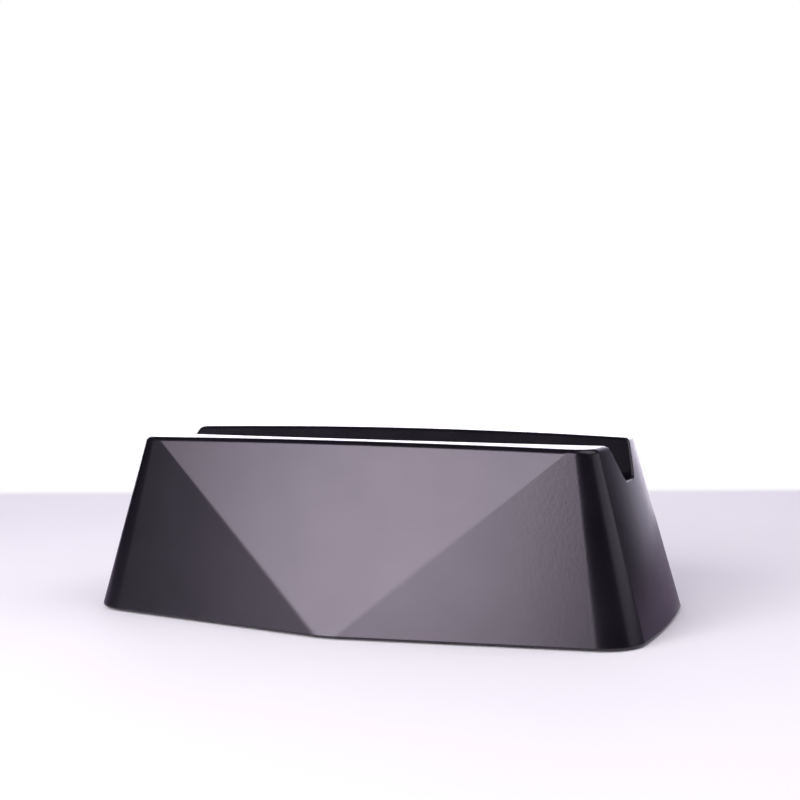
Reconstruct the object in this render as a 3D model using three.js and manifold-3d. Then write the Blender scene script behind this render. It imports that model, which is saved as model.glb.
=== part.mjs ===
// Front wheel riser block for a bicycle trainer.
// A ribbed plastic shell, open below, stands on six rubber feet, each held by a washer and a screw.
// Millimetres, +Z up. The origin is on the floor under the middle of the block, +X runs along the wheel
// groove, and -Y is the front.

import * as THREE from "three";
import { mergeVertices } from "three/addons/utils/BufferGeometryUtils.js";
import Module from "manifold-3d";

const wasm = await Module();
wasm.setup();

// Outer form of the shell
const height = 89.2; // floor to the top of the ridges at mid length
const rimClearance = 1; // the feet hold the rim this far off the floor
const baseLength = 290;
const topLength = 242.6;
const baseWidth = 156; // across the middle of the rim
const baseEndWidth = 113; // across the ends of the rim, measured to the unrounded corners
const topWidth = 86.5;
const baseFlatLength = 7.6; // foot of the middle facet
const topCreaseGap = 0.5; // between a crease's upper end and the rounding of its corner
const baseCornerRadius = 22.3;
const topCornerRadius = 10.9;
const endCreaseAngle = THREE.MathUtils.degToRad(11.2); // between a rounded corner and the end face
const endBow = 2.2; // the end faces bulge this much
const topCrown = 1; // the ridges drop this much towards the ends
const topEdgeRadius = 2.6;
const rimEdgeRadius = 0.8;

// Wheel groove along the top
const grooveFloorWidth = 15.8;
const grooveMiddleWidth = 63.6; // mouth at mid length
const grooveMiddleDepth = 37.3;
const grooveEndDepth = 18.6; // where the floor meets an end face, measured from the ridges' highest level
const grooveFloorRadius = 7; // between the groove's floor and its flanks
const grooveLipRadius = 3; // between its flanks and the ridges

// Walls and ribs inside the shell
const sideWall = 3.2;
const topWall = 3.4;
const grooveWall = 4;
const ribThickness = 2.4;
const ribPitch = 27.5;
const ribClearance = 4; // the ribs stop this far above the floor

// Rubber feet
const footRadius = 12;
const footTaper = 0.6; // narrower by this much at the floor
const footHeight = 9;
const footEdgeRadius = 1;
const footWallGap = 4; // between a middle foot's seat and the shell's wall
const footHoleRadius = 2.4;
const counterboreRadius = 5.6;
const counterboreDepth = 5.2;

// Foot seats moulded into the shell
const seatRingWall = 2.4;
const seatRingDepth = 2; // the ring reaches this far down past the foot's top
const seatWebThickness = 2;
const bossRadius = 5;
const pilotSpareDepth = 2; // room beyond the screw's tip

// Washers and screws
const washerRadius = 5.1;
const washerHoleRadius = 2.3;
const washerThickness = 1;
const screwRadius = 1.95;
const screwLength = 20;
const screwTipLength = 3;
const screwHeadRadius = 4.1;
const screwHeadHeight = 2.3;
const screwHeadEdgeRadius = 0.9;
const driveSlotLength = 4.8;
const driveSlotWidth = 1.1;
const driveSlotDepth = 1.3;

const clearance = 0.3; // between pieces that touch
const overrun = 5; // how far cutting bodies pass the surface they cut

// Facet counts
const facetColumns = 5; // columns in half of a middle facet
const cornerSteps = 7;
const endSteps = 3;
const topEdgeSteps = 3;
const rimEdgeSteps = 2;
const grooveStations = 19; // odd, so that one station-to-station face is centred on the block
const grooveFloorSteps = 3;
const lipSteps = 3;
const footEdgeSteps = 3;
const footSegments = 28;
const seatSegments = 20;
const screwSegments = 16;

const plastic = new THREE.MeshStandardMaterial({ color: 0x2b2b30, roughness: 0.55, metalness: 0 });
const rubber = new THREE.MeshStandardMaterial({ color: 0x151516, roughness: 0.9, metalness: 0 });
const zincSteel = new THREE.MeshStandardMaterial({ color: 0xb4b7bb, roughness: 0.35, metalness: 1 });

// Geometry helpers

const lerp = THREE.MathUtils.lerp;
const range = (count) => Array.from({ length: count }, (_, index) => index);

function solidFrom(geometry) {
  const bare = geometry.clone();
  bare.deleteAttribute("normal");
  bare.deleteAttribute("uv");
  const merged = mergeVertices(bare);
  const triVerts = new Uint32Array(merged.index.array);
  const vertProperties = merged.attributes.position.array;
  return new wasm.Manifold(new wasm.Mesh({ numProp: 3, vertProperties, triVerts }));
}

function geometryFrom(solid) {
  const mesh = solid.getMesh();
  const geometry = new THREE.BufferGeometry();
  geometry.setAttribute("position", new THREE.BufferAttribute(mesh.vertProperties, 3));
  geometry.setIndex(new THREE.BufferAttribute(mesh.triVerts, 1));
  geometry.computeVertexNormals();
  return geometry;
}

// A closed body through outlines that are each symmetrical about the plane y = 0. Each outline is given
// as one half, a list of points that starts and ends on that plane.
function mirroredLoft(halves) {
  const half = halves[0].length;
  const ringLength = 2 * half - 2;
  const positions = [];
  for (const points of halves) {
    const mirrored = points.slice(1, -1).reverse();
    for (const point of points) positions.push(point.x, point.y, point.z);
    for (const point of mirrored) positions.push(point.x, -point.y, point.z);
  }
  const index = [];
  for (const ring of range(halves.length - 1)) {
    for (const step of range(ringLength)) {
      const a = ring * ringLength + step;
      const b = ring * ringLength + ((step + 1) % ringLength);
      index.push(a, b, b + ringLength, a, b + ringLength, a + ringLength);
    }
  }
  const partner = (step) => (ringLength - step) % ringLength;
  for (const step of range(half - 1)) {
    const first = [step, partner(step), partner(step + 1), step + 1];
    const last = first.map((vertex) => vertex + (halves.length - 1) * ringLength).reverse();
    for (const [a, b, c, d] of [first, last]) {
      if (a !== b && b !== c) index.push(a, b, c);
      if (a !== d && c !== d) index.push(a, c, d);
    }
  }
  const geometry = new THREE.BufferGeometry();
  geometry.setAttribute("position", new THREE.Float32BufferAttribute(positions, 3));
  geometry.setIndex(index);
  return solidFrom(geometry);
}

function box(sizeX, sizeY, sizeZ, x, y, z) {
  return solidFrom(new THREE.BoxGeometry(sizeX, sizeY, sizeZ).translate(x, y, z));
}

// A body of revolution about +Z, from points [radius, height].
function turned(profile, segments) {
  const points = profile.map(([radius, level]) => new THREE.Vector2(radius, level));
  return solidFrom(new THREE.LatheGeometry(points, segments).rotateX(Math.PI / 2));
}

function cylinder(radius, bottom, top, segments) {
  return turned([[0, bottom], [radius, bottom], [radius, top], [0, top]], segments);
}

const union = (solids) => solids.reduce((all, next) => all.add(next));

// Outer form

// A size of the outline at a level, from its values at the rim and at the top
const sizeAt = (base, top, level) => lerp(base, top, (level - rimClearance) / (height - rimClearance));
const halfAt = (base, top, level) => sizeAt(base, top, level) / 2;

// The side facet to the right of the front's middle: its direction, and the way from it into the block
const sideDirection = new THREE.Vector2(
  baseLength - baseFlatLength,
  baseWidth - baseEndWidth,
).normalize();
const inward = new THREE.Vector2(-sideDirection.y, sideDirection.x);

// Between the upper ends of the two creases of one side, which stop short of the corners' rounding
const topCreaseSpan =
  topLength -
  2 * endBow -
  2 * topCornerRadius * (Math.cos(endCreaseAngle) - sideDirection.y) -
  2 * topCreaseGap * sideDirection.x;

// The rounding of the front right corner at a level. It touches the side facet, which starts at the
// crease, and it ends at the end crease.
function cornerAt(level) {
  const radius = sizeAt(baseCornerRadius, topCornerRadius, level);
  const centreX = halfAt(baseLength, topLength, level) - endBow - radius * Math.cos(endCreaseAngle);
  const creaseX = halfAt(baseFlatLength, topCreaseSpan, level);
  const along = (centreX - creaseX - radius * inward.x) / sideDirection.x;
  const centreY = along * sideDirection.y + radius * inward.y - halfAt(baseWidth, topWidth, level);
  return { radius, centre: new THREE.Vector2(centreX, centreY) };
}

// One quarter of the block's outline at a level, from the middle of the front to the middle of the right
// end, with every wall moved in by inset. columns divide the stretch along the middle facet.
function quarterOutline(level, inset, columns) {
  const halfLength = halfAt(baseLength, topLength, level);
  const halfWidth = halfAt(baseWidth, topWidth, level);
  const creaseX = halfAt(baseFlatLength, topCreaseSpan, level);
  const creaseShift = (inset * (1 - inward.y)) / sideDirection.y;
  const corner = cornerAt(level);
  const points = [];
  for (const column of range(columns + 1)) {
    const x = ((creaseX - creaseShift) * column) / columns;
    points.push(new THREE.Vector2(x, inset - halfWidth));
  }
  const firstAngle = Math.atan2(-inward.y, -inward.x);
  for (const step of range(cornerSteps + 1)) {
    const angle = lerp(firstAngle, -endCreaseAngle, step / cornerSteps);
    const arm = new THREE.Vector2(Math.cos(angle), Math.sin(angle)).multiplyScalar(corner.radius - inset);
    points.push(arm.add(corner.centre));
  }
  const crease = points[points.length - 1];
  for (const step of range(endSteps)) {
    const share = (step + 1) / endSteps;
    const bulge = halfLength - inset - crease.x;
    points.push(new THREE.Vector2(crease.x + bulge * (1 - (1 - share) ** 2), crease.y * (1 - share)));
  }
  return points;
}

// The front half of the outline, from the left end to the right end. drop is the share of the crown by
// which the points come down the sloping walls towards the ends.
function halfOutline(level, inset, columns, drop = 0) {
  const droppedLevel = (x) => level - drop * topCrown * (x / (topLength / 2)) ** 2;
  const right = quarterOutline(level, inset, columns).map((point, index) => {
    const dropped = droppedLevel(point.x);
    const moved = quarterOutline(dropped, inset, columns)[index];
    return new THREE.Vector3(moved.x, moved.y, dropped);
  });
  const left = right.slice(1).reverse().map((point) => new THREE.Vector3(-point.x, point.y, point.z));
  return [...left, ...right];
}

// The mean slope of the walls, from the vertical, on which the top edge's rounding starts.
const wallSlope = Math.atan((baseLength - topLength + baseWidth - topWidth) / 4 / (height - rimClearance));

function outerForm() {
  const rings = [];
  for (const step of range(rimEdgeSteps + 1)) {
    const angle = (Math.PI / 2) * (1 - step / rimEdgeSteps);
    const level = rimClearance + rimEdgeRadius * (1 - Math.sin(angle));
    rings.push(halfOutline(level, rimEdgeRadius * (1 - Math.cos(angle)), facetColumns));
  }
  for (const step of range(topEdgeSteps + 1)) {
    const angle = lerp(wallSlope, Math.PI / 2, step / topEdgeSteps);
    const level = height - topEdgeRadius * (1 - Math.sin(angle));
    const inset = (topEdgeRadius * (1 - Math.cos(angle - wallSlope))) / Math.cos(wallSlope);
    rings.push(halfOutline(level, inset, facetColumns, 1));
  }
  return mirroredLoft(rings);
}

// Wheel groove

const flankRun = (grooveMiddleWidth - grooveFloorWidth) / 2 / grooveMiddleDepth; // outwards per rise
const flankAngle = Math.atan(flankRun); // from the vertical
const grooveArcRise = grooveMiddleDepth - grooveEndDepth;
const grooveArcReach = halfAt(baseLength, topLength, height - grooveEndDepth);
const grooveArcRadius = (grooveArcReach ** 2 + grooveArcRise ** 2) / (2 * grooveArcRise);
const grooveFloorLevel = (x) =>
  height - grooveMiddleDepth + grooveArcRadius - Math.sqrt(grooveArcRadius ** 2 - x ** 2);
const ridgeLevel = (x) => height - topCrown * (x / (topLength / 2)) ** 2;

// Half of the groove's section at a station, from its floor up to above the ridges, with its floor and
// flanks moved out into the plastic by offset.
function grooveSection(x, offset, lipRadius) {
  const floor = grooveFloorLevel(x) - offset;
  const radius = grooveFloorRadius + offset;
  const turn = Math.PI / 2 - flankAngle;
  const cornerY = grooveFloorWidth / 2 + offset * Math.tan(turn / 2);
  const arcCentreY = cornerY - radius * Math.tan(turn / 2);
  const points = [new THREE.Vector3(x, 0, floor)];
  for (const step of range(grooveFloorSteps + 1)) {
    const angle = (turn * step) / grooveFloorSteps;
    const y = arcCentreY + radius * Math.sin(angle);
    points.push(new THREE.Vector3(x, y, floor + radius * (1 - Math.cos(angle))));
  }
  const ridge = ridgeLevel(x);
  const mouthY = cornerY + (ridge - floor) * flankRun;
  const lipReach = lipRadius * Math.tan(turn / 2);
  for (const step of range(lipSteps + 1)) {
    const angle = turn * (1 - step / lipSteps);
    const y = mouthY + lipReach - lipRadius * Math.sin(angle);
    points.push(new THREE.Vector3(x, y, ridge - lipRadius * (1 - Math.cos(angle))));
  }
  // Past the lip the section rises on at the slope of the lip's last step.
  const [beforeLast, last] = points.slice(-2);
  const rise = last.clone().sub(beforeLast).setLength(overrun);
  points.push(last.clone().add(rise));
  points.push(new THREE.Vector3(x, 0, last.z + rise.z));
  return points;
}

function grooveForm(offset, lipRadius) {
  const reach = baseLength / 2 + overrun;
  const stations = range(grooveStations + 1).map((step) => lerp(-reach, reach, step / grooveStations));
  return mirroredLoft(stations.map((x) => grooveSection(x, offset, lipRadius)));
}

// Feet, and their seats in the shell

const cornerFoot = cornerAt(rimClearance).centre;
const middleFootY = baseWidth / 2 - sideWall - footWallGap - footRadius - clearance - seatRingWall;
const footPlaces = {
  front_left: [-cornerFoot.x, cornerFoot.y],
  front_middle: [0, -middleFootY],
  front_right: [cornerFoot.x, cornerFoot.y],
  rear_left: [-cornerFoot.x, -cornerFoot.y],
  rear_middle: [0, middleFootY],
  rear_right: [cornerFoot.x, -cornerFoot.y],
};
const seatLevel = footHeight + clearance;
const washerTop = counterboreDepth - clearance;
const headTop = washerTop - washerThickness - clearance;

// The ring round a foot, the boss for its screw, and the cross of webs that the foot's top rests on.
function footSeat() {
  const innerRadius = footRadius + clearance;
  const outerRadius = innerRadius + seatRingWall;
  const ringFoot = seatLevel - seatRingDepth;
  const ring = cylinder(outerRadius, ringFoot, height, seatSegments).subtract(
    cylinder(innerRadius, ringFoot - overrun, height + overrun, seatSegments),
  );
  const middle = (seatLevel + height) / 2;
  const rise = height - seatLevel;
  const span = innerRadius + outerRadius;
  return union([
    ring,
    cylinder(bossRadius, seatLevel, height, screwSegments),
    box(span, seatWebThickness, rise, 0, 0, middle),
    box(seatWebThickness, span, rise, 0, 0, middle),
  ]);
}

function pilotHole() {
  const end = headTop + screwLength + pilotSpareDepth;
  return cylinder(screwRadius + clearance, seatLevel - overrun, end, screwSegments);
}

function atFeet(makeSolid) {
  return union(Object.values(footPlaces).map(([x, y]) => makeSolid().translate([x, y, 0])));
}

// Ribs that cross the hollow both ways, from the groove's walls and the side walls down to near the rim
function ribs() {
  const innerHalf = baseLength / 2 - sideWall;
  const middle = (ribClearance + height) / 2;
  const rise = height - ribClearance;
  const slabs = [-1, 0, 1].map((lane) =>
    box(baseLength, ribThickness, rise, 0, lane * ribPitch, middle),
  );
  for (let x = ribPitch / 2; x + ribThickness < innerHalf; x += ribPitch) {
    slabs.push(box(ribThickness, baseWidth, rise, x, 0, middle));
    slabs.push(box(ribThickness, baseWidth, rise, -x, 0, middle));
  }
  return union(slabs);
}

function shellSolid() {
  const hollow = mirroredLoft([
    halfOutline(rimClearance - overrun, sideWall, 1),
    halfOutline(height - topCrown - topWall, sideWall, 1),
  ]);
  const seats = atFeet(footSeat);
  const cores = hollow
    .subtract(grooveForm(grooveWall, 0))
    .subtract(ribs().subtract(atFeet(footPocket)).add(seats));
  return outerForm().subtract(grooveForm(0, grooveLipRadius)).subtract(cores).subtract(atFeet(pilotHole));
}

// The space of a foot and of its seat's hollow, which the ribs stay out of
function footPocket() {
  return cylinder(footRadius + clearance, 0, height + overrun, seatSegments);
}

function footSolid() {
  const floorRadius = footRadius - footTaper;
  const edge = range(footEdgeSteps + 1).map((step) => {
    const angle = (step / footEdgeSteps) * (Math.PI / 2);
    const radius = floorRadius - footEdgeRadius * (1 - Math.sin(angle));
    return [radius, footEdgeRadius * (1 - Math.cos(angle))];
  });
  const profile = [
    [counterboreRadius, 0],
    ...edge,
    [footRadius, footHeight],
    [footHoleRadius, footHeight],
    [footHoleRadius, counterboreDepth],
    [counterboreRadius, counterboreDepth],
    [counterboreRadius, 0],
  ];
  return turned(profile, footSegments);
}

function washerSolid() {
  const bottom = washerTop - washerThickness;
  const profile = [
    [washerHoleRadius, bottom],
    [washerRadius, bottom],
    [washerRadius, washerTop],
    [washerHoleRadius, washerTop],
    [washerHoleRadius, bottom],
  ];
  return turned(profile, footSegments);
}

function screwSolid() {
  const headBottom = headTop - screwHeadHeight;
  const edge = range(footEdgeSteps + 1).map((step) => {
    const angle = (step / footEdgeSteps) * (Math.PI / 2);
    const radius = screwHeadRadius - screwHeadEdgeRadius * (1 - Math.sin(angle));
    return [radius, headBottom + screwHeadEdgeRadius * (1 - Math.cos(angle))];
  });
  const profile = [
    [0, headBottom],
    ...edge,
    [screwHeadRadius, headTop],
    [screwRadius, headTop],
    [screwRadius, headTop + screwLength - screwTipLength],
    [0, headTop + screwLength],
  ];
  const slotMiddle = headBottom + (driveSlotDepth - overrun) / 2;
  const slotRise = driveSlotDepth + overrun;
  return turned(profile, screwSegments)
    .subtract(box(driveSlotLength, driveSlotWidth, slotRise, 0, 0, slotMiddle))
    .subtract(box(driveSlotWidth, driveSlotLength, slotRise, 0, 0, slotMiddle));
}

function piece(name, solid, material) {
  const mesh = new THREE.Mesh(geometryFrom(solid), material);
  mesh.name = name;
  return mesh;
}

const block = new THREE.Group();
block.add(piece("shell", shellSolid(), plastic));
for (const [place, [x, y]] of Object.entries(footPlaces)) {
  const footSet = new THREE.Group();
  footSet.position.set(x, y, 0);
  footSet.add(piece("foot_" + place, footSolid(), rubber));
  footSet.add(piece("washer_" + place, washerSolid(), zincSteel));
  footSet.add(piece("screw_" + place, screwSolid(), zincSteel));
  block.add(footSet);
}

export default block;
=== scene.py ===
# Looks of a front wheel riser block for a bicycle trainer.
# Metres, +Z up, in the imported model's frame: the origin is on the floor under the middle of the
# block, +X runs along the wheel groove, and -Y is the front.

import math

import bmesh
import bpy
from mathutils import Matrix, Vector


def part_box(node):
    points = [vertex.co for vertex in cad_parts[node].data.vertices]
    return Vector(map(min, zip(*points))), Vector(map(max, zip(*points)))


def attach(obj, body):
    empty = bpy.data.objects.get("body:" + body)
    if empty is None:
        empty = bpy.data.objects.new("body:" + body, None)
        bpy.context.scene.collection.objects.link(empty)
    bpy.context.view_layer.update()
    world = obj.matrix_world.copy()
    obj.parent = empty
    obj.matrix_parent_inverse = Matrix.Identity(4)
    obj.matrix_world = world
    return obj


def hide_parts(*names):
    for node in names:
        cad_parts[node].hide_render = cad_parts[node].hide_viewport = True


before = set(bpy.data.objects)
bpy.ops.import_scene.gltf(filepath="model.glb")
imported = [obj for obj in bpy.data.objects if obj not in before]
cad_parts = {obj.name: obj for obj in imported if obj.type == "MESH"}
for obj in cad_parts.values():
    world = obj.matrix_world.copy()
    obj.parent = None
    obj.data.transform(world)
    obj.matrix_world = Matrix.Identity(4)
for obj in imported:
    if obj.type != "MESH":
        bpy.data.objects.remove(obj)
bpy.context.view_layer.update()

MM = 0.001
SHELL_LOW, SHELL_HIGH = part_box("shell")

# Outer form of the shell
RIM_LEVEL = SHELL_LOW.z
HEIGHT = SHELL_HIGH.z
BASE_LENGTH = 290 * MM
TOP_LENGTH = 242.6 * MM
BASE_WIDTH = 156 * MM
BASE_END_WIDTH = 113 * MM
TOP_WIDTH = 86.5 * MM
BASE_FLAT_LENGTH = 7.6 * MM
TOP_CREASE_GAP = 0.5 * MM  # between a crease's upper end and the corner's rounding
BASE_CORNER_RADIUS = 22.3 * MM
TOP_CORNER_RADIUS = 10.9 * MM
END_CREASE_ANGLE = math.radians(11.2)
END_BOW = 2.2 * MM
TOP_CROWN = 1 * MM
TOP_EDGE_RADIUS = 3.3 * MM
RIM_EDGE_RADIUS = 1 * MM
INNER_RIM_RADIUS = 0.5 * MM
CREASE_BASE_REACH = 2.4 * MM  # a crease's rounding starts this far from it
CREASE_TOP_REACH = 0.45 * MM
END_CREASE_REACH = 0.25 * MM

# Wheel groove
GROOVE_FLOOR_WIDTH = 15.8 * MM
GROOVE_MIDDLE_WIDTH = 63.6 * MM
GROOVE_MIDDLE_DEPTH = 37.3 * MM
GROOVE_END_DEPTH = 18.6 * MM
GROOVE_FLOOR_RADIUS = 7 * MM
GROOVE_LIP_RADIUS = 3 * MM
GROOVE_END_RADIUS = 1.5 * MM  # rounds the edges between the groove and the end faces
GROOVE_END_TURN = math.radians(80)  # under a right angle, so that it cuts the end faces cleanly
GROOVE_END_TRIES = 8  # each brings a point of that rounding closer to the end face

# Walls, ribs and foot seats inside the shell
SIDE_WALL = 3.2 * MM
TOP_WALL = 3.4 * MM
GROOVE_WALL = 4 * MM
RIB_THICKNESS = 2.4 * MM
RIB_PITCH = 27.5 * MM
LONG_RIB_PLACES = (-1, 0, 1)  # in pitches from the middle
RIB_CLEARANCE = 4 * MM
RIB_EDGE_RADIUS = 0.7 * MM
SEAT_RING_WALL = 2.4 * MM
SEAT_RING_DEPTH = 2 * MM
SEAT_WEB_THICKNESS = 2 * MM
BOSS_RADIUS = 5 * MM
PILOT_RADIUS = 2.25 * MM

# Feet, washers and screws
COUNTERBORE_RADIUS = 5.6 * MM
COUNTERBORE_DEPTH = 5.2 * MM
FOOT_HOLE_RADIUS = 2.4 * MM
FOOT_TAPER = 0.6 * MM
FOOT_EDGE_RADIUS = 1 * MM
FOOT_TOP_RADIUS = 0.4 * MM
GRIP_GROOVES = 4
GRIP_GROOVE_RADIUS = 0.3 * MM
GRIP_LAND = 1.1 * MM  # from one grip groove's middle to the next
WASHER_HOLE_RADIUS = 2.3 * MM
WASHER_EDGE_RADIUS = 0.2 * MM
SCREW_RADIUS = 1.95 * MM
THREAD_DEPTH = 0.45 * MM
THREAD_PITCH = 1.4 * MM
SCREW_HEAD_HEIGHT = 2.3 * MM
SCREW_TIP_LENGTH = 3 * MM
SCREW_TIP_SHARE = 0.04  # of the shank's radius, at the tip's end
HEAD_EDGE_RADIUS = 0.9 * MM
RECESS_LENGTH = 4.8 * MM
RECESS_WIDTH = 1.1 * MM
RECESS_DEPTH = 1.3 * MM
RECESS_END_SHARES = (0.55, 0.8)  # of the recess's length and width, at its inner end
RECESS_OUTER_SHARES = (2.5, 1.4)  # of the same, where the cutting body stands out of the head

CLEARANCE = 0.3 * MM
OVERRUN = 5 * MM  # how far a cutting body goes past what it cuts
SLIVER = 0.001 * MM  # edges shorter than this are closed up
SHARP_ANGLE = math.radians(32)  # edges sharper than this aren't shaded as smooth

# Turns in a lathe profile, in degrees
QUARTER_TURN = 90
HALF_TURN = 180

# Mesh counts
COLUMNS = 24
CORNER_STEPS = 24
END_STEPS = 10
CREASE_STEPS = 6
WALL_RINGS = 5
TOP_EDGE_STEPS = 10
RIM_EDGE_STEPS = 5
GROOVE_STATIONS = 40
GROOVE_FLOOR_STEPS = 9
FLANK_STEPS = 11
LIP_STEPS = 9
END_EDGE_STEPS = 6
ROUND_SEGMENTS = 64
WASHER_EDGE_STEPS = 3
HEAD_EDGE_STEPS = 10
SCREW_SEGMENTS = 32
THREAD_STEPS = 10  # per turn
MOST_CORNERS = 4  # faces with more are split into triangles

PLACES = ("front_left", "front_middle", "front_right", "rear_left", "rear_middle", "rear_right")

# Materials. Colours go from dark to light, scales are in waves per metre.
NOISE_LOW, NOISE_HIGH = 0.3, 0.7  # most of a noise lies between these
WHITE = (1, 1, 1, 1)

PLASTIC_COLOURS = ((0.0042, 0.0038, 0.0056), (0.0052, 0.0047, 0.0068))
PLASTIC_ROUGHNESS = (0.24, 0.27)
PLASTIC_IOR = 1.5
PLASTIC_TINT = (1.0, 0.9, 1.06, 1)
PLASTIC_CLOUD_SCALE = 45
SWELL_SCALE = 140
SWELL_DEPTH = 0.01 * MM
PEBBLE_SCALE = 620
PEBBLE_DEPTH = 0.03 * MM
GRAIN_SCALE = 2600
GRAIN_DEPTH = 0.006 * MM

RUBBER_COLOURS = ((0.010, 0.010, 0.010), (0.022, 0.021, 0.020))
RUBBER_ROUGHNESS = (0.68, 0.86)
RUBBER_BLOOM_SCALE = 220
RUBBER_GRAIN_SCALE = 3200
RUBBER_GRAIN_DEPTH = 0.02 * MM

STEEL_COLOURS = ((0.50, 0.51, 0.54), (0.64, 0.65, 0.67))
STEEL_ROUGHNESS = (0.22, 0.38)
STEEL_HAZE_SCALE = 320
STEEL_MARK_SCALE = 900
STEEL_MARK_STRETCH = (1, 14, 14)
STEEL_MARK_DEPTH = 0.004 * MM

PAPER_COLOURS = ((0.86, 0.86, 0.86), (0.88, 0.88, 0.88))
PAPER_ROUGHNESS = 0.75
PAPER_CLOUD_SCALE = 6
PAPER_GRAIN_SCALE = 900
PAPER_GRAIN_DEPTH = 0.02 * MM

# Camera, floor and surroundings
CAMERA_PLACE = Vector((276.97, -660.98, 155.59)) * MM
CAMERA_FOOT = Vector((CAMERA_PLACE.x, CAMERA_PLACE.y, 0))
CAMERA_YAW = 0.38676  # to the left of straight ahead
CAMERA_PITCH = 0.06888  # down
CAMERA_ROLL = -0.0098
CAMERA_LENS = 63.376  # in millimetres, as the sensor
CAMERA_SENSOR = 36
CAMERA_NEAR = 10 * MM
FLOOR_YAW = 0.3435
FLOOR_AHEAD = Vector((-math.sin(FLOOR_YAW), math.cos(FLOOR_YAW), 0))
FLOOR_FAR_EDGE = 1170 * MM  # from the camera's foot
FLOOR_EDGE_FADE = 32 * MM
FLOOR_REACH = 4000 * MM
FLOOR_FADE_START = 600 * MM
FLOOR_FADE_END = 1500 * MM
BACKDROP_AZIMUTH = 196.5  # in degrees, where 0 is the front and 90 the right
BACKDROP_EDGE = math.radians(42)
BACKDROP_FADE = math.radians(15)
BACKDROP_COLOUR = (1.0, 0.93, 1.15, 1)
AMBIENT = 0.36
AMBIENT_COLOUR = (1.0, 0.905, 1.18, 1)
FLAG_COLOUR = (0.39, 0.325, 0.42, 1)
FLAG_GAP = 1 * MM  # above the floor, and beside the block
FLAG_REACH = 600 * MM
FLAG_FRONT = -80 * MM
FLAG_BACK = 600 * MM
UNIT_SQUARE = ((0, 0), (1, 0), (1, 1), (0, 1))
AIM = Vector((0, 0, HEIGHT / 2))

# Lamps, all of them soft boxes: angles in degrees, sizes in metres
KEY_COLOUR = (1.0, 0.965, 1.0)
LAMPS = {
    "key": dict(
        azimuth=-14, elevation=22, distance=1.3, width=0.93, height=0.95,
        radiance=7.1, colour=KEY_COLOUR,
    ),
    "key_core": dict(
        azimuth=-23.5, elevation=22, distance=1.28, width=0.27, height=0.95,
        radiance=2.1, colour=KEY_COLOUR,
    ),
    "key_side": dict(
        azimuth=-41.5, elevation=20, distance=1.3, width=0.2, height=1.0,
        radiance=2.2, colour=(1.0, 0.965, 1.03),
    ),
    "top": dict(
        azimuth=100, elevation=56, distance=1.4, width=1.2, height=1.2,
        radiance=1.6, colour=(1.0, 0.97, 1.0),
    ),
    "fill": dict(
        azimuth=109, elevation=12, distance=1.0, width=0.82, height=0.29,
        radiance=0.85, colour=(1.0, 0.95, 1.03), gloss_alone=True,
    ),
    "rear": dict(
        azimuth=203.5, elevation=4, distance=1.2, width=1.4, height=0.62,
        radiance=3.5, colour=(1.0, 0.95, 1.06), gloss_alone=True,
    ),
}


def lerp(start, end, share):
    return start + (end - start) * share


def shares(steps):
    """Evenly spaced numbers from 0 to 1."""
    return [step / steps for step in range(steps + 1)]


# Mesh helpers


def mesh_object(name, points, faces):
    mesh = bpy.data.meshes.new(name)
    mesh.from_pydata([tuple(point) for point in points], [], faces)
    made = bmesh.new()
    made.from_mesh(mesh)
    bmesh.ops.recalc_face_normals(made, faces=made.faces)
    if made.calc_volume(signed=True) < 0:
        bmesh.ops.reverse_faces(made, faces=made.faces)
    made.to_mesh(mesh)
    made.free()
    obj = bpy.data.objects.new(name, mesh)
    bpy.context.scene.collection.objects.link(obj)
    return obj


def ring_faces(rows, ring):
    """Faces between rows of points, each row a closed ring."""
    faces = []
    for row in range(rows - 1):
        for step in range(ring):
            a = row * ring + step
            b = row * ring + (step + 1) % ring
            faces.append((a, b, b + ring, a + ring))
    return faces


def prism_faces(rows, ring):
    """Faces of a closed body through rows of points, with a flat face at either end."""
    last = (rows - 1) * ring
    return [tuple(range(ring)), tuple(range(last, last + ring))] + ring_faces(rows, ring)


def mirrored_loft(name, halves):
    """A closed body through outlines that are each symmetrical about the plane y = 0. Each outline
    is given as one half, a list of points that starts and ends on that plane."""
    half = len(halves[0])
    ring = 2 * half - 2
    points = []
    for outline in halves:
        points += outline
        points += [Vector((p.x, -p.y, p.z)) for p in reversed(outline[1:-1])]
    faces = ring_faces(len(halves), ring)
    last = (len(halves) - 1) * ring
    for step in range(half - 1):
        corners = (step, (ring - step) % ring, (ring - step - 1) % ring, step + 1)
        face = list(dict.fromkeys(corners))
        faces.append(face)
        faces.append([vertex + last for vertex in reversed(face)])
    return mesh_object(name, points, faces)


def turned(name, profile):
    """A body of revolution about +Z, from points (radius, level). The profile closes on itself, or
    starts and ends on the axis."""
    points = []
    rows = []
    for radius, level in profile:
        if radius == 0:
            rows.append([len(points)] * ROUND_SEGMENTS)
            points.append((0, 0, level))
            continue
        rows.append([len(points) + step for step in range(ROUND_SEGMENTS)])
        for step in range(ROUND_SEGMENTS):
            angle = math.tau * step / ROUND_SEGMENTS
            points.append((radius * math.cos(angle), radius * math.sin(angle), level))
    pairs = list(zip(rows, rows[1:]))
    if profile[0][0] != 0:
        pairs.append((rows[-1], rows[0]))
    faces = []
    for low, high in pairs:
        for step in range(ROUND_SEGMENTS):
            after = (step + 1) % ROUND_SEGMENTS
            face = list(dict.fromkeys((low[step], low[after], high[after], high[step])))
            faces.append(face)
    return mesh_object(name, points, faces)


def rod(name, radius, bottom, top):
    """A plain cylinder about +Z."""
    return turned(name, [(0, bottom), (radius, bottom), (radius, top), (0, top)])


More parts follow.
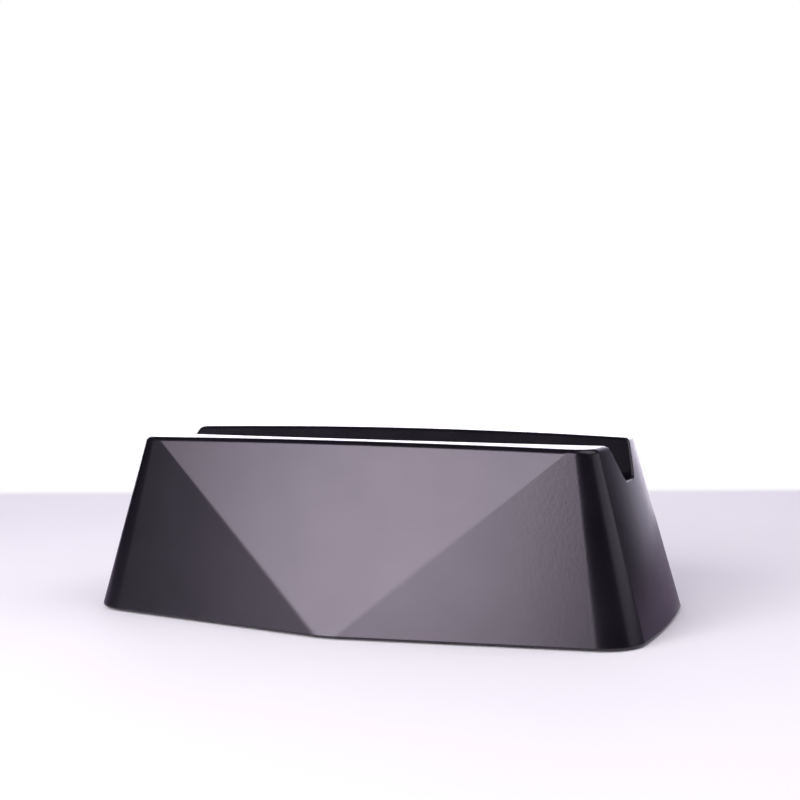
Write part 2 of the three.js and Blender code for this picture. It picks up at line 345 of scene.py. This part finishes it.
def block(name, low, high):
    """A box from one corner to the opposite one."""
    sides = list(zip(low, high))
    corners = [(x, y, z) for x in sides[0] for y in sides[1] for z in sides[2]]
    faces = [(0, 1, 3, 2), (4, 6, 7, 5), (0, 4, 5, 1), (2, 3, 7, 6), (0, 2, 6, 4), (1, 5, 7, 3)]
    return mesh_object(name, corners, faces)


def flipped(points):
    """Points mirrored about the plane x = 0."""
    return [Vector((-p.x, p.y, p.z)) for p in points]


def moved(obj, offset):
    obj.data.transform(Matrix.Translation(offset))
    return obj


def combined(target, tool, operation):
    """Cuts target by tool, or joins them, and deletes tool."""
    modifier = target.modifiers.new(operation, "BOOLEAN")
    modifier.operation = operation
    modifier.solver = "MANIFOLD"
    modifier.object = tool
    graph = bpy.context.evaluated_depsgraph_get()
    mesh = bpy.data.meshes.new_from_object(target.evaluated_get(graph))
    target.modifiers.clear()
    old = [target.data, tool.data]
    target.data = mesh
    bpy.data.objects.remove(tool)
    for data in old:
        bpy.data.meshes.remove(data)
    return target


def cut(target, tool):
    return combined(target, tool, "DIFFERENCE")


def joined(solids):
    first, *others = solids
    for other in others:
        combined(first, other, "UNION")
    return first


def cleaned(obj):
    """Closes up the slivers that cuts leave in a mesh, so that it stays closed in triangles."""
    made = bmesh.new()
    made.from_mesh(obj.data)
    bmesh.ops.dissolve_degenerate(made, dist=SLIVER, edges=made.edges)
    large = [face for face in made.faces if len(face.verts) > MOST_CORNERS]
    bmesh.ops.triangulate(made, faces=large)
    bmesh.ops.dissolve_degenerate(made, dist=SLIVER, edges=made.edges)
    made.to_mesh(obj.data)
    made.free()
    return obj


def arc(centre, radius, start, end, steps=RIM_EDGE_STEPS):
    """Points (radius, level) of an arc in a lathe profile, its angles in degrees from outwards."""
    angles = [math.radians(lerp(start, end, share)) for share in shares(steps)]
    return [(centre[0] + radius * math.cos(a), centre[1] + radius * math.sin(a)) for a in angles]


def lower_edge(radius, level, edge, steps=RIM_EDGE_STEPS):
    """The rounded lower outer edge of a lathe profile."""
    return arc((radius - edge, level + edge), edge, -QUARTER_TURN, 0, steps)


def upper_edge(radius, level, edge, steps=RIM_EDGE_STEPS):
    """The rounded upper outer edge of a lathe profile."""
    return arc((radius - edge, level - edge), edge, 0, QUARTER_TURN, steps)


def bore_edge(radius, level, edge, steps=RIM_EDGE_STEPS):
    """The rounded lower edge of a bore in a lathe profile."""
    centre = (radius + edge, level + edge)
    return arc(centre, edge, HALF_TURN, HALF_TURN + QUARTER_TURN, steps)


def dress(obj, material, slot, *nodes):
    """Shades a piece, gives it its material and ties it to the frame in place of the nodes."""
    made = bmesh.new()
    made.from_mesh(obj.data)
    for face in made.faces:
        face.smooth = True
    for edge in made.edges:
        edge.smooth = edge.calc_face_angle(0) < SHARP_ANGLE
    made.to_mesh(obj.data)
    made.free()
    normals = obj.modifiers.new("normals", "WEIGHTED_NORMAL")
    normals.keep_sharp = True
    obj.data.materials.clear()
    obj.data.materials.append(material)
    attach(obj, "root")
    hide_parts(*nodes)


# Outer form


def size_at(base, top, level):
    """A size that changes evenly from base at the rim to top at the ridges."""
    return lerp(base, top, (level - RIM_LEVEL) / (HEIGHT - RIM_LEVEL))


def half_at(base, top, level):
    return size_at(base, top, level) / 2


def crown_share(x):
    """How much of the crown the ridges have dropped by at x: 0 in the middle, 1 at the ends."""
    return (x / (TOP_LENGTH / 2)) ** 2


SIDE_RUN = Vector((BASE_LENGTH - BASE_FLAT_LENGTH, BASE_WIDTH - BASE_END_WIDTH))
SIDE_DIRECTION = SIDE_RUN.normalized()
INWARD = Vector((-SIDE_DIRECTION.y, SIDE_DIRECTION.x))
TOP_CREASE_SPAN = (
    TOP_LENGTH
    - 2 * END_BOW
    - 2 * TOP_CORNER_RADIUS * (math.cos(END_CREASE_ANGLE) - SIDE_DIRECTION.y)
    - 2 * TOP_CREASE_GAP * SIDE_DIRECTION.x
)

# The mean lean of the ends and the sides, each of which leans by half its loss in length or width
WALL_RUN = (BASE_LENGTH - TOP_LENGTH + BASE_WIDTH - TOP_WIDTH) / 4
WALL_SLOPE = math.atan(WALL_RUN / (HEIGHT - RIM_LEVEL))


def corner_at(level):
    """Radius and centre of the front right corner's rounding at a level."""
    radius = size_at(BASE_CORNER_RADIUS, TOP_CORNER_RADIUS, level)
    x = half_at(BASE_LENGTH, TOP_LENGTH, level) - END_BOW - radius * math.cos(END_CREASE_ANGLE)
    crease_x = half_at(BASE_FLAT_LENGTH, TOP_CREASE_SPAN, level)
    along = (x - crease_x - radius * INWARD.x) / SIDE_DIRECTION.x
    y = along * SIDE_DIRECTION.y + radius * INWARD.y - half_at(BASE_WIDTH, TOP_WIDTH, level)
    return radius, Vector((x, y))


def rounded(before, vertex, after, reach):
    """Points that round a vertex of an outline, from reach before it to reach after it."""
    start = vertex + (before - vertex).normalized() * reach
    end = vertex + (after - vertex).normalized() * reach
    points = []
    for share in shares(CREASE_STEPS):
        points.append(start.lerp(vertex, share).lerp(vertex.lerp(end, share), share))
    return points


def quarter_outline(level, inset):
    """One quarter of the outline at a level, from the middle of the front to the middle of the
    right end, with every wall moved in by inset."""
    crease_shift = inset * (1 - INWARD.y) / SIDE_DIRECTION.y
    middle = Vector((0, inset - half_at(BASE_WIDTH, TOP_WIDTH, level)))
    crease_x = half_at(BASE_FLAT_LENGTH, TOP_CREASE_SPAN, level) - crease_shift
    crease = Vector((crease_x, middle.y))
    radius, centre = corner_at(level)
    first_angle = math.atan2(-INWARD.y, -INWARD.x)
    corner = []
    for share in shares(CORNER_STEPS):
        angle = lerp(first_angle, -END_CREASE_ANGLE, share)
        corner.append(centre + (radius - inset) * Vector((math.cos(angle), math.sin(angle))))
    end_crease = corner.pop()
    bulge = half_at(BASE_LENGTH, TOP_LENGTH, level) - inset - end_crease.x
    end = []
    for share in shares(END_STEPS)[1:]:
        x = end_crease.x + bulge * (1 - (1 - share) ** 2)
        end.append(Vector((x, end_crease.y * (1 - share))))
    reach = size_at(CREASE_BASE_REACH, CREASE_TOP_REACH, level)
    side_crease = rounded(middle, crease, corner[0], reach)
    facet = [middle.lerp(side_crease[0], column / COLUMNS) for column in range(COLUMNS)]
    end_rounding = rounded(corner[-1], end_crease, end[0], END_CREASE_REACH)
    return facet + side_crease + corner + end_rounding + end


def half_outline(level, inset, drop=0.0):
    """The front half of the outline, from the left end to the right end. drop is the share of the
    crown by which the points come down the sloping walls towards the ends."""
    upper = quarter_outline(level, inset)
    lower = quarter_outline(level - TOP_CROWN, inset)
    right = []
    for high, low in zip(upper, lower):
        share = drop * crown_share(high.x)
        point = high.lerp(low, share)
        right.append(Vector((point.x, point.y, level - TOP_CROWN * share)))
    return flipped(reversed(right[1:])) + right


def edge_inset(angle):
    """How far the top edge's rounding has moved in from the wall at an angle of its arc."""
    return TOP_EDGE_RADIUS * (1 - math.cos(angle - WALL_SLOPE)) / math.cos(WALL_SLOPE)


def outer_form():
    rings = []
    for share in shares(RIM_EDGE_STEPS):
        angle = math.pi / 2 * (1 - share)
        level = RIM_LEVEL + RIM_EDGE_RADIUS * (1 - math.sin(angle))
        rings.append(half_outline(level, RIM_EDGE_RADIUS * (1 - math.cos(angle))))
    low = RIM_LEVEL + RIM_EDGE_RADIUS
    high = HEIGHT - TOP_EDGE_RADIUS * (1 - math.sin(WALL_SLOPE))
    for share in shares(WALL_RINGS)[1:-1]:
        rings.append(half_outline(lerp(low, high, share), 0, share))
    for share in shares(TOP_EDGE_STEPS):
        angle = lerp(WALL_SLOPE, math.pi / 2, share)
        level = HEIGHT - TOP_EDGE_RADIUS * (1 - math.sin(angle))
        rings.append(half_outline(level, edge_inset(angle), 1))
    return mirrored_loft("shell_body", rings)


def end_face_x(point):
    """Where the right end face, with the top edge's rounding, lies over a point's y and z."""
    level = point.z + TOP_CROWN * crown_share(point.x)
    sine = 1 - (HEIGHT - level) / TOP_EDGE_RADIUS
    angle = math.asin(min(1.0, max(sine, math.sin(WALL_SLOPE))))
    radius, centre = corner_at(point.z)
    crease_y = centre.y - radius * math.sin(END_CREASE_ANGLE)
    plain = half_at(BASE_LENGTH, TOP_LENGTH, point.z) - END_BOW * (point.y / crease_y) ** 2
    return plain - edge_inset(angle)


# Wheel groove

FLANK_RUN = (GROOVE_MIDDLE_WIDTH - GROOVE_FLOOR_WIDTH) / 2 / GROOVE_MIDDLE_DEPTH
FLANK_TURN = math.pi / 2 - math.atan(FLANK_RUN)  # from the groove's floor to its flanks
GROOVE_ARC_RISE = GROOVE_MIDDLE_DEPTH - GROOVE_END_DEPTH
GROOVE_ARC_REACH = half_at(BASE_LENGTH, TOP_LENGTH, HEIGHT - GROOVE_END_DEPTH)
GROOVE_ARC_RADIUS = (GROOVE_ARC_REACH**2 + GROOVE_ARC_RISE**2) / (2 * GROOVE_ARC_RISE)
GROOVE_ARC_CENTRE = HEIGHT - GROOVE_MIDDLE_DEPTH + GROOVE_ARC_RADIUS


def groove_section(x, offset=0.0, lip_radius=GROOVE_LIP_RADIUS):
    """Half of the groove's section at a station, from its floor up to above the ridges, with its
    floor and flanks moved out into the plastic by offset."""
    floor = GROOVE_ARC_CENTRE - math.sqrt(GROOVE_ARC_RADIUS**2 - x**2) - offset
    ridge = HEIGHT - TOP_CROWN * crown_share(x)
    radius = GROOVE_FLOOR_RADIUS + offset
    corner_y = GROOVE_FLOOR_WIDTH / 2 + offset * math.tan(FLANK_TURN / 2)
    arc_centre_y = corner_y - radius * math.tan(FLANK_TURN / 2)
    points = [Vector((x, 0, floor))]
    for share in shares(GROOVE_FLOOR_STEPS):
        angle = FLANK_TURN * share
        y = arc_centre_y + radius * math.sin(angle)
        points.append(Vector((x, y, floor + radius * (1 - math.cos(angle)))))
    mouth_y = corner_y + (ridge - floor) * FLANK_RUN
    lip_reach = lip_radius * math.tan(FLANK_TURN / 2)
    lip = []
    for share in shares(LIP_STEPS):
        angle = FLANK_TURN * (1 - share)
        y = mouth_y + lip_reach - lip_radius * math.sin(angle)
        lip.append(Vector((x, y, ridge - lip_radius * (1 - math.cos(angle)))))
        if lip_radius == 0:
            break
    foot = points[-1]
    points += [foot.lerp(lip[0], share) for share in shares(FLANK_STEPS)[1:-1]]
    points += lip
    # Past the lip the section rises at the slope of the lip's last step, then goes straight up.
    rise = (points[-1] - points[-2]).normalized() * OVERRUN
    points.append(points[-1] + rise)
    top = ridge + 2 * OVERRUN
    points.append(Vector((x, points[-1].y, top)))
    points.append(Vector((x, 0, top)))
    return points


def groove_end_point(index, angle):
    """A point of the rounding between the groove and the right end face, at an angle of its arc."""
    offset = GROOVE_END_RADIUS * (1 - math.cos(angle))
    back = GROOVE_END_RADIUS * (1 - math.sin(angle))
    point = Vector((TOP_LENGTH / 2, 0, HEIGHT))
    for _ in range(GROOVE_END_TRIES):
        point = groove_section(point.x, offset)[index]
        point.x = end_face_x(point) - back
    return point


def groove_form():
    """The space of the groove, which widens into rounded edges at both end faces."""
    lines = []
    for index in range(len(groove_section(0))):
        start = groove_end_point(index, 0)
        line = [groove_section(start.x * share)[index] for share in shares(GROOVE_STATIONS)]
        for share in shares(END_EDGE_STEPS)[1:]:
            line.append(groove_end_point(index, GROOVE_END_TURN * share))
        line.append(line[-1] + Vector((OVERRUN, 0, 0)))
        lines.append(line)
    right = [list(section) for section in zip(*lines)]
    left = [flipped(section) for section in reversed(right[1:])]
    return mirrored_loft("groove", left + right)


def groove_wall_form():
    """The groove's space with its wall, which the hollow leaves out."""
    reach = BASE_LENGTH / 2 + OVERRUN
    stations = [lerp(-reach, reach, share) for share in shares(GROOVE_STATIONS)]
    return mirrored_loft("groove_wall", [groove_section(x, GROOVE_WALL, 0) for x in stations])


# Inside of the shell


def foot_centre(place):
    low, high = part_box("foot_" + place)
    return (low + high) / 2 * Vector((1, 1, 0))


def at_feet(make_solid):
    return joined([moved(make_solid(), foot_centre(place)) for place in PLACES])


FOOT_LOW, FOOT_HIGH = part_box("foot_front_middle")
FOOT_RADIUS = (FOOT_HIGH.x - FOOT_LOW.x) / 2
FOOT_HEIGHT = FOOT_HIGH.z
WASHER_LOW, WASHER_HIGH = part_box("washer_front_middle")
SCREW_LOW, SCREW_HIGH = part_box("screw_front_middle")
SEAT_LEVEL = FOOT_HEIGHT + CLEARANCE
SEAT_RADIUS = FOOT_RADIUS + CLEARANCE


def foot_pocket():
    return rod("pocket", SEAT_RADIUS, 0, HEIGHT + OVERRUN)


def foot_seat():
    """A ring around a foot, the boss for its screw, and two webs between ring and boss."""
    outer = SEAT_RADIUS + SEAT_RING_WALL
    bottom = SEAT_LEVEL - SEAT_RING_DEPTH
    middle = (SEAT_RADIUS + outer) / 2
    edge = SEAT_RING_WALL / 2
    ring_edge = arc((middle, bottom + edge), edge, -HALF_TURN, 0)
    ring = turned("ring", [(SEAT_RADIUS, HEIGHT), *ring_edge, (outer, HEIGHT)])
    boss = rod("boss", BOSS_RADIUS, SEAT_LEVEL, HEIGHT)
    half = SEAT_WEB_THICKNESS / 2
    web_x = block("web_x", (-middle, -half, SEAT_LEVEL), (middle, half, HEIGHT))
    web_y = block("web_y", (-half, -middle, SEAT_LEVEL), (half, middle, HEIGHT))
    return joined([ring, boss, web_x, web_y])


def pilot_hole():
    return rod("pilot", PILOT_RADIUS, SEAT_LEVEL - OVERRUN, SCREW_HIGH.z + CLEARANCE)


def rib(along_x, place):
    """A rib with a rounded lower edge, across the whole hollow."""
    half = RIB_THICKNESS / 2
    edge = lower_edge(half, RIB_CLEARANCE, RIB_EDGE_RADIUS)
    other_edge = [(-side, level) for side, level in reversed(edge)]
    profile = other_edge + edge + [(half, HEIGHT), (-half, HEIGHT)]
    reach = BASE_LENGTH / 2 if along_x else BASE_WIDTH / 2
    points = []
    for end in (-reach, reach):
        for side, level in profile:
            across = place + side
            points.append((end, across, level) if along_x else (across, end, level))
    return mesh_object("rib", points, prism_faces(2, len(profile)))


def ribs():
    slabs = [rib(True, lane * RIB_PITCH) for lane in LONG_RIB_PLACES]
    x = RIB_PITCH / 2
    while x + RIB_THICKNESS < BASE_LENGTH / 2 - SIDE_WALL:
        slabs += [rib(False, x), rib(False, -x)]
        x += RIB_PITCH
    return joined(slabs)


def hollow():
    rings = [half_outline(RIM_LEVEL - OVERRUN, SIDE_WALL - INNER_RIM_RADIUS)]
    for share in shares(RIM_EDGE_STEPS):
        angle = math.pi / 2 * share
        level = RIM_LEVEL + INNER_RIM_RADIUS * math.sin(angle)
        rings.append(half_outline(level, SIDE_WALL - INNER_RIM_RADIUS * math.cos(angle)))
    rings.append(half_outline(HEIGHT - TOP_CROWN - TOP_WALL, SIDE_WALL))
    return mirrored_loft("hollow", rings)


def shell_body():
    cores = cut(hollow(), groove_wall_form())
    inside = joined([cut(ribs(), at_feet(foot_pocket)), at_feet(foot_seat)])
    cut(cores, inside)
    body = cut(outer_form(), groove_form())
    cut(body, cores)
    return cleaned(cut(body, at_feet(pilot_hole)))


# Feet, washers and screws


def foot_piece(place):
    floor_radius = FOOT_RADIUS - FOOT_TAPER
    first = COUNTERBORE_RADIUS + (floor_radius - FOOT_EDGE_RADIUS - COUNTERBORE_RADIUS) / 2
    first -= GRIP_LAND * (GRIP_GROOVES - 1) / 2
    grip = []
    for groove in range(GRIP_GROOVES):
        grip += arc((first + GRIP_LAND * groove, 0), GRIP_GROOVE_RADIUS, HALF_TURN, 0)
    profile = [
        *bore_edge(COUNTERBORE_RADIUS, 0, FOOT_TOP_RADIUS),
        *grip,
        *lower_edge(floor_radius, 0, FOOT_EDGE_RADIUS),
        *upper_edge(FOOT_RADIUS, FOOT_HEIGHT, FOOT_TOP_RADIUS),
        (FOOT_HOLE_RADIUS, FOOT_HEIGHT),
        (FOOT_HOLE_RADIUS, COUNTERBORE_DEPTH),
        (COUNTERBORE_RADIUS, COUNTERBORE_DEPTH),
    ]
    return moved(turned("foot_pad_" + place, profile), foot_centre(place))


def washer_piece(place):
    radius = (WASHER_HIGH.x - WASHER_LOW.x) / 2
    profile = [
        *bore_edge(WASHER_HOLE_RADIUS, WASHER_LOW.z, WASHER_EDGE_RADIUS, WASHER_EDGE_STEPS),
        *lower_edge(radius, WASHER_LOW.z, WASHER_EDGE_RADIUS, WASHER_EDGE_STEPS),
        (radius, WASHER_HIGH.z),
        (WASHER_HOLE_RADIUS, WASHER_HIGH.z),
    ]
    return moved(turned("washer_ring_" + place, profile), foot_centre(place))


def threaded_shank(bottom, top):
    """A cone-tipped shank with a helical thread, closed at both ends."""
    rows = math.ceil((top - bottom) / THREAD_PITCH * THREAD_STEPS)
    points = []
    for row in range(rows + 1):
        level = lerp(bottom, top, row / rows)
        tip = max(SCREW_TIP_SHARE, min(1.0, (top - level) / SCREW_TIP_LENGTH))
        for step in range(SCREW_SEGMENTS):
            turn = step / SCREW_SEGMENTS
            phase = ((level - bottom) / THREAD_PITCH - turn) % 1
            crest = (2 * phase - 1) ** 2
            radius = (SCREW_RADIUS - THREAD_DEPTH * (1 - crest)) * tip
            angle = math.tau * turn
            points.append((radius * math.cos(angle), radius * math.sin(angle), level))
    return mesh_object("shank", points, prism_faces(rows + 1, SCREW_SEGMENTS))


def recess_arm(across):
    """One bar of the head's cross recess, which narrows as it goes in."""
    length = RECESS_LENGTH / 2
    width = RECESS_WIDTH / 2
    low = (-length, -width, SCREW_LOW.z - OVERRUN)
    high = (length, width, SCREW_LOW.z + RECESS_DEPTH)
    bar = block("bar", low, high)
    for vertex in bar.data.vertices:
        inside = vertex.co.z > SCREW_LOW.z
        length_share, width_share = RECESS_END_SHARES if inside else RECESS_OUTER_SHARES
        vertex.co.x *= length_share
        vertex.co.y *= width_share
    if across:
        bar.data.transform(Matrix.Rotation(math.pi / 2, 4, "Z"))
    return bar


def screw_piece(place):
    radius = (SCREW_HIGH.x - SCREW_LOW.x) / 2
    head_top = SCREW_LOW.z + SCREW_HEAD_HEIGHT
    profile = [
        (0, SCREW_LOW.z),
        *lower_edge(radius, SCREW_LOW.z, HEAD_EDGE_RADIUS, HEAD_EDGE_STEPS),
        *upper_edge(radius, head_top, WASHER_EDGE_RADIUS, WASHER_EDGE_STEPS),
        (0, head_top),
    ]
    head = turned("screw_body_" + place, profile)
    for across in (False, True):
        cut(head, recess_arm(across))
    joined([head, threaded_shank(head_top - CLEARANCE, SCREW_HIGH.z)])
    return moved(cleaned(head), foot_centre(place))


# Materials


class Tree:
    """A node tree, with short ways to add nodes to it."""

    def __init__(self, tree):
        self.nodes = tree.nodes
        self.links = tree.links

    def add(self, kind, output, *inputs, **settings):
        """Adds a node and returns its output. Each input is a name or number with what goes into
        it: another node's output, or a value."""
        node = self.nodes.new(kind)
        for name, value in settings.items():
            setattr(node, name, value)
        for name, value in inputs:
            if isinstance(value, bpy.types.NodeSocket):
                self.links.new(value, node.inputs[name])
            else:
                node.inputs[name].default_value = value
        return node.outputs[output]

    def maths(self, operation, first, second):
        return self.add("ShaderNodeMath", "Value", (0, first), (1, second), operation=operation)

    def vector_maths(self, operation, *values):
        """A number from vectors, such as their dot product."""
        return self.add(
            "ShaderNodeVectorMath", "Value", *enumerate(values), operation=operation
        )

    def ranged(self, value, start, end, low, high, **settings):
        """value, which runs from start to end, moved to run from low to high."""
        return self.add(
            "ShaderNodeMapRange", "Result",
            ("Value", value), ("From Min", start), ("From Max", end),
            ("To Min", low), ("To Max", high), **settings,
        )

    def smooth_step(self, value, start, end):
        """0 where value is at start or before it, 1 from end on, and a smooth rise between."""
        return self.ranged(value, start, end, 0, 1, interpolation_type="SMOOTHSTEP")

    def mixed(self, share, first, second):
        """A colour between two."""
        inputs = (("Factor", share), ("A", first), ("B", second))
        return self.add("ShaderNodeMix", "Result", *inputs, data_type="RGBA")

    def rays(self):
        """Two outputs: 1 for rays from the camera, and 1 for rays from the camera, gloss or
        glass."""
        path = self.nodes.new("ShaderNodeLightPath").outputs
        reflected = self.maths("MAXIMUM", path["Is Glossy Ray"], path["Is Transmission Ray"])
        return path["Is Camera Ray"], self.maths("MAXIMUM", path["Is Camera Ray"], reflected)

    def mix_into(self, output, share, first, second):
        """Leads a mix of two shaders to the tree's output node."""
        mix = self.add("ShaderNodeMixShader", "Shader", ("Fac", share), (1, first), (2, second))
        self.links.new(mix, self.nodes[output].inputs["Surface"])


class Material(Tree):
    """A node material with a principled shader."""

    def __init__(self, name):
        self.material = bpy.data.materials.new(name)
        self.material.use_nodes = True
        super().__init__(self.material.node_tree)
        self.shader = self.nodes["Principled BSDF"]
        self.place = self.nodes.new("ShaderNodeTexCoord").outputs["Object"]

    def set(self, **values):
        for name, value in values.items():
            self.shader.inputs[name.replace("_", " ")].default_value = value

    def use(self, output, name):
        self.links.new(output, self.shader.inputs[name])

    def noise(self, scale, detail=2.0, roughness=0.5, stretch=None):
        """Noise from 0 to 1, its scale in waves per metre."""
        place = self.place
        if stretch:
            place = self.add("ShaderNodeMapping", "Vector", ("Scale", stretch), ("Vector", place))
        return self.add(
            "ShaderNodeTexNoise", "Fac",
            ("Scale", scale), ("Detail", detail), ("Roughness", roughness), ("Vector", place),
        )

    def spread(self, noise, low, high):
        """A number that a noise moves between low and high."""
        return self.ranged(noise, NOISE_LOW, NOISE_HIGH, low, high)

    def colour(self, noise, low, high):
        """A colour that a noise moves between two."""
        return self.mixed(self.spread(noise, 0, 1), (*low, 1), (*high, 1))

    def bump(self, height, depth, before=None):
        """Surface relief, depth metres deep, on top of an earlier relief."""
        inputs = [("Distance", depth), ("Height", height)]
        if before:
            inputs.append(("Normal", before))
        return self.add("ShaderNodeBump", "Normal", *inputs)


def shell_plastic():
    """Charcoal plastic with a fine spark-eroded grain and a soft gloss."""
    made = Material("shell_plastic")
    cloud = made.noise(PLASTIC_CLOUD_SCALE, detail=3)
    made.use(made.colour(cloud, *PLASTIC_COLOURS), "Base Color")
    made.use(made.spread(cloud, *PLASTIC_ROUGHNESS), "Roughness")
    swell = made.bump(made.noise(SWELL_SCALE, detail=1), SWELL_DEPTH)
    pebbles = made.noise(PEBBLE_SCALE, detail=3, roughness=0.6)
    grain = made.noise(GRAIN_SCALE, detail=2, roughness=0.6)
    relief = made.bump(grain, GRAIN_DEPTH, made.bump(pebbles, PEBBLE_DEPTH, swell))
    made.use(relief, "Normal")
    made.set(IOR=PLASTIC_IOR, Specular_Tint=PLASTIC_TINT)
    return made.material


def foot_rubber():
    """Matt black rubber with a chalky bloom."""
    made = Material("foot_rubber")
    bloom = made.noise(RUBBER_BLOOM_SCALE, detail=4)
    made.use(made.colour(bloom, *RUBBER_COLOURS), "Base Color")
    made.use(made.spread(bloom, *RUBBER_ROUGHNESS), "Roughness")
    grain = made.noise(RUBBER_GRAIN_SCALE, detail=3)
    made.use(made.bump(grain, RUBBER_GRAIN_DEPTH), "Normal")
    return made.material


def zinc_steel():
    """Zinc-plated steel with fine drawing marks."""
    made = Material("zinc_steel")
    marks = made.noise(STEEL_MARK_SCALE, detail=3, stretch=STEEL_MARK_STRETCH)
    haze = made.noise(STEEL_HAZE_SCALE, detail=3)
    made.use(made.colour(haze, *STEEL_COLOURS), "Base Color")
    made.use(made.spread(marks, *STEEL_ROUGHNESS), "Roughness")
    made.use(made.bump(marks, STEEL_MARK_DEPTH), "Normal")
    made.set(Metallic=1.0)
    return made.material


def floor_paper():
    """Pale matt floor. For the camera, gloss and glass it fades to white at its far edge and far
    from the block."""
    made = Material("floor_paper")
    cloud = made.noise(PAPER_CLOUD_SCALE, detail=2)
    made.use(made.colour(cloud, *PAPER_COLOURS), "Base Color")
    grain = made.noise(PAPER_GRAIN_SCALE, detail=2)
    made.use(made.bump(grain, PAPER_GRAIN_DEPTH), "Normal")
    made.set(Roughness=PAPER_ROUGHNESS)

    edge = CAMERA_FOOT.dot(FLOOR_AHEAD) + FLOOR_FAR_EDGE
    ahead = made.vector_maths("DOT_PRODUCT", made.place, FLOOR_AHEAD)
    at_edge = made.smooth_step(ahead, edge - FLOOR_EDGE_FADE, edge)
    away = made.vector_maths("LENGTH", made.place)
    far_away = made.smooth_step(away, FLOOR_FADE_START, FLOOR_FADE_END)
    faded = made.maths("MAXIMUM", at_edge, far_away)
    _, direct_ray = made.rays()
    share = made.maths("MULTIPLY", faded, direct_ray)
    white = made.add("ShaderNodeEmission", "Emission", ("Color", WHITE))
    made.mix_into("Material Output", share, made.shader.outputs["BSDF"], white)
    return made.material


# Stage


def heading(azimuth, elevation=0.0):
    """The direction to a light: azimuth 0 is the front, 90 the right."""
    a = math.radians(azimuth)
    e = math.radians(elevation)
    return Vector((math.sin(a) * math.cos(e), -math.cos(a) * math.cos(e), math.sin(e)))


def make_camera():
    data = bpy.data.cameras.new("camera")
    data.lens = CAMERA_LENS
    data.sensor_width = CAMERA_SENSOR
    data.sensor_fit = "HORIZONTAL"
    data.clip_start = CAMERA_NEAR
    camera = bpy.data.objects.new("camera", data)
    turn = Matrix.Rotation(CAMERA_YAW, 4, "Z")
    tilt = Matrix.Rotation(math.pi / 2 - CAMERA_PITCH, 4, "X")
    roll = Matrix.Rotation(CAMERA_ROLL, 4, "Z")
    camera.matrix_world = Matrix.Translation(CAMERA_PLACE) @ turn @ tilt @ roll
    bpy.context.scene.collection.objects.link(camera)
    bpy.context.scene.camera = camera


def make_world():
    """White where the camera sees it, and pale behind the block where gloss and glass see it.
    Elsewhere they see black, and everything else gets an even lilac light."""
    world = bpy.data.worlds.new("studio")
    world.use_nodes = True
    tree = Tree(world.node_tree)
    camera_ray, direct_ray = tree.rays()
    place = tree.nodes.new("ShaderNodeTexCoord").outputs["Generated"]
    behind = tree.vector_maths("DOT_PRODUCT", place, heading(BACKDROP_AZIMUTH))
    fade_end = math.cos(BACKDROP_EDGE - BACKDROP_FADE)
    backdrop = tree.smooth_step(behind, math.cos(BACKDROP_EDGE), fade_end)
    colour = tree.mixed(camera_ray, BACKDROP_COLOUR, WHITE)
    strength = tree.maths("MAXIMUM", camera_ray, backdrop)
    seen = tree.add(
        "ShaderNodeBackground", "Background", ("Color", colour), ("Strength", strength)
    )
    ambient = tree.nodes["Background"]
    ambient.inputs["Color"].default_value = AMBIENT_COLOUR
    ambient.inputs["Strength"].default_value = AMBIENT
    tree.mix_into("World Output", direct_ray, ambient.outputs["Background"], seen)
    bpy.context.scene.world = world


def make_floor():
    side = Vector((FLOOR_AHEAD.y, -FLOOR_AHEAD.x, 0)) * FLOOR_REACH
    far = CAMERA_FOOT + FLOOR_AHEAD * FLOOR_FAR_EDGE
    near = CAMERA_FOOT - FLOOR_AHEAD * FLOOR_REACH
    corners = [near - side, near + side, far + side, far - side]
    floor = mesh_object("floor", corners, [(0, 1, 2, 3)])
    if floor.data.polygons[0].normal.z < 0:
        floor.data.flip_normals()
    floor.data.materials.append(floor_paper())


def make_flags():
    """Two grey cards on the floor, one beside each end of the block, that only gloss and glass
    see. They are darker than the floor and keep its glare off the ends."""
    made = Material("flag_grey")
    made.set(Base_Color=FLAG_COLOUR, Roughness=1.0, Specular_IOR_Level=0.0)
    for side in (-1, 1):
        corners = []
        for x, y in UNIT_SQUARE:
            across = BASE_LENGTH / 2 + FLAG_GAP + x * FLAG_REACH
            corners.append(Vector((side * across, lerp(FLAG_FRONT, FLAG_BACK, y), FLAG_GAP)))
        flag = mesh_object("flag", corners, [(0, 1, 2, 3)])
        flag.data.materials.append(made.material)
        flag.visible_camera = False
        flag.visible_diffuse = False
        flag.visible_shadow = False


def soft_box(
    name, azimuth, elevation, distance, width, height, radiance, colour, gloss_alone=False
):
    """A rectangular lamp of a given radiance that faces the block's middle. The camera doesn't
    see it, and with gloss_alone it lights no matt surface."""
    data = bpy.data.lights.new(name, "AREA")
    data.shape = "RECTANGLE"
    data.size = width
    data.size_y = height
    data.energy = math.pi * width * height * radiance
    data.color = colour
    light = bpy.data.objects.new(name, data)
    way = heading(azimuth, elevation)
    turn = way.to_track_quat("Z", "Y").to_matrix().to_4x4()
    light.matrix_world = Matrix.Translation(AIM + way * distance) @ turn
    light.visible_camera = False
    light.visible_diffuse = not gloss_alone
    bpy.context.scene.collection.objects.link(light)


make_camera()
make_world()
make_floor()
make_flags()
for lamp, values in LAMPS.items():
    soft_box(lamp, **values)

plastic = shell_plastic()
rubber = foot_rubber()
steel = zinc_steel()
dress(shell_body(), plastic, "shell_plastic", "shell")
for spot in PLACES:
    dress(foot_piece(spot), rubber, "foot_rubber", "foot_" + spot)
    dress(washer_piece(spot), steel, "zinc_steel", "washer_" + spot)
    dress(screw_piece(spot), steel, "zinc_steel", "screw_" + spot)

bpy.context.scene.view_settings.view_transform = "Standard"
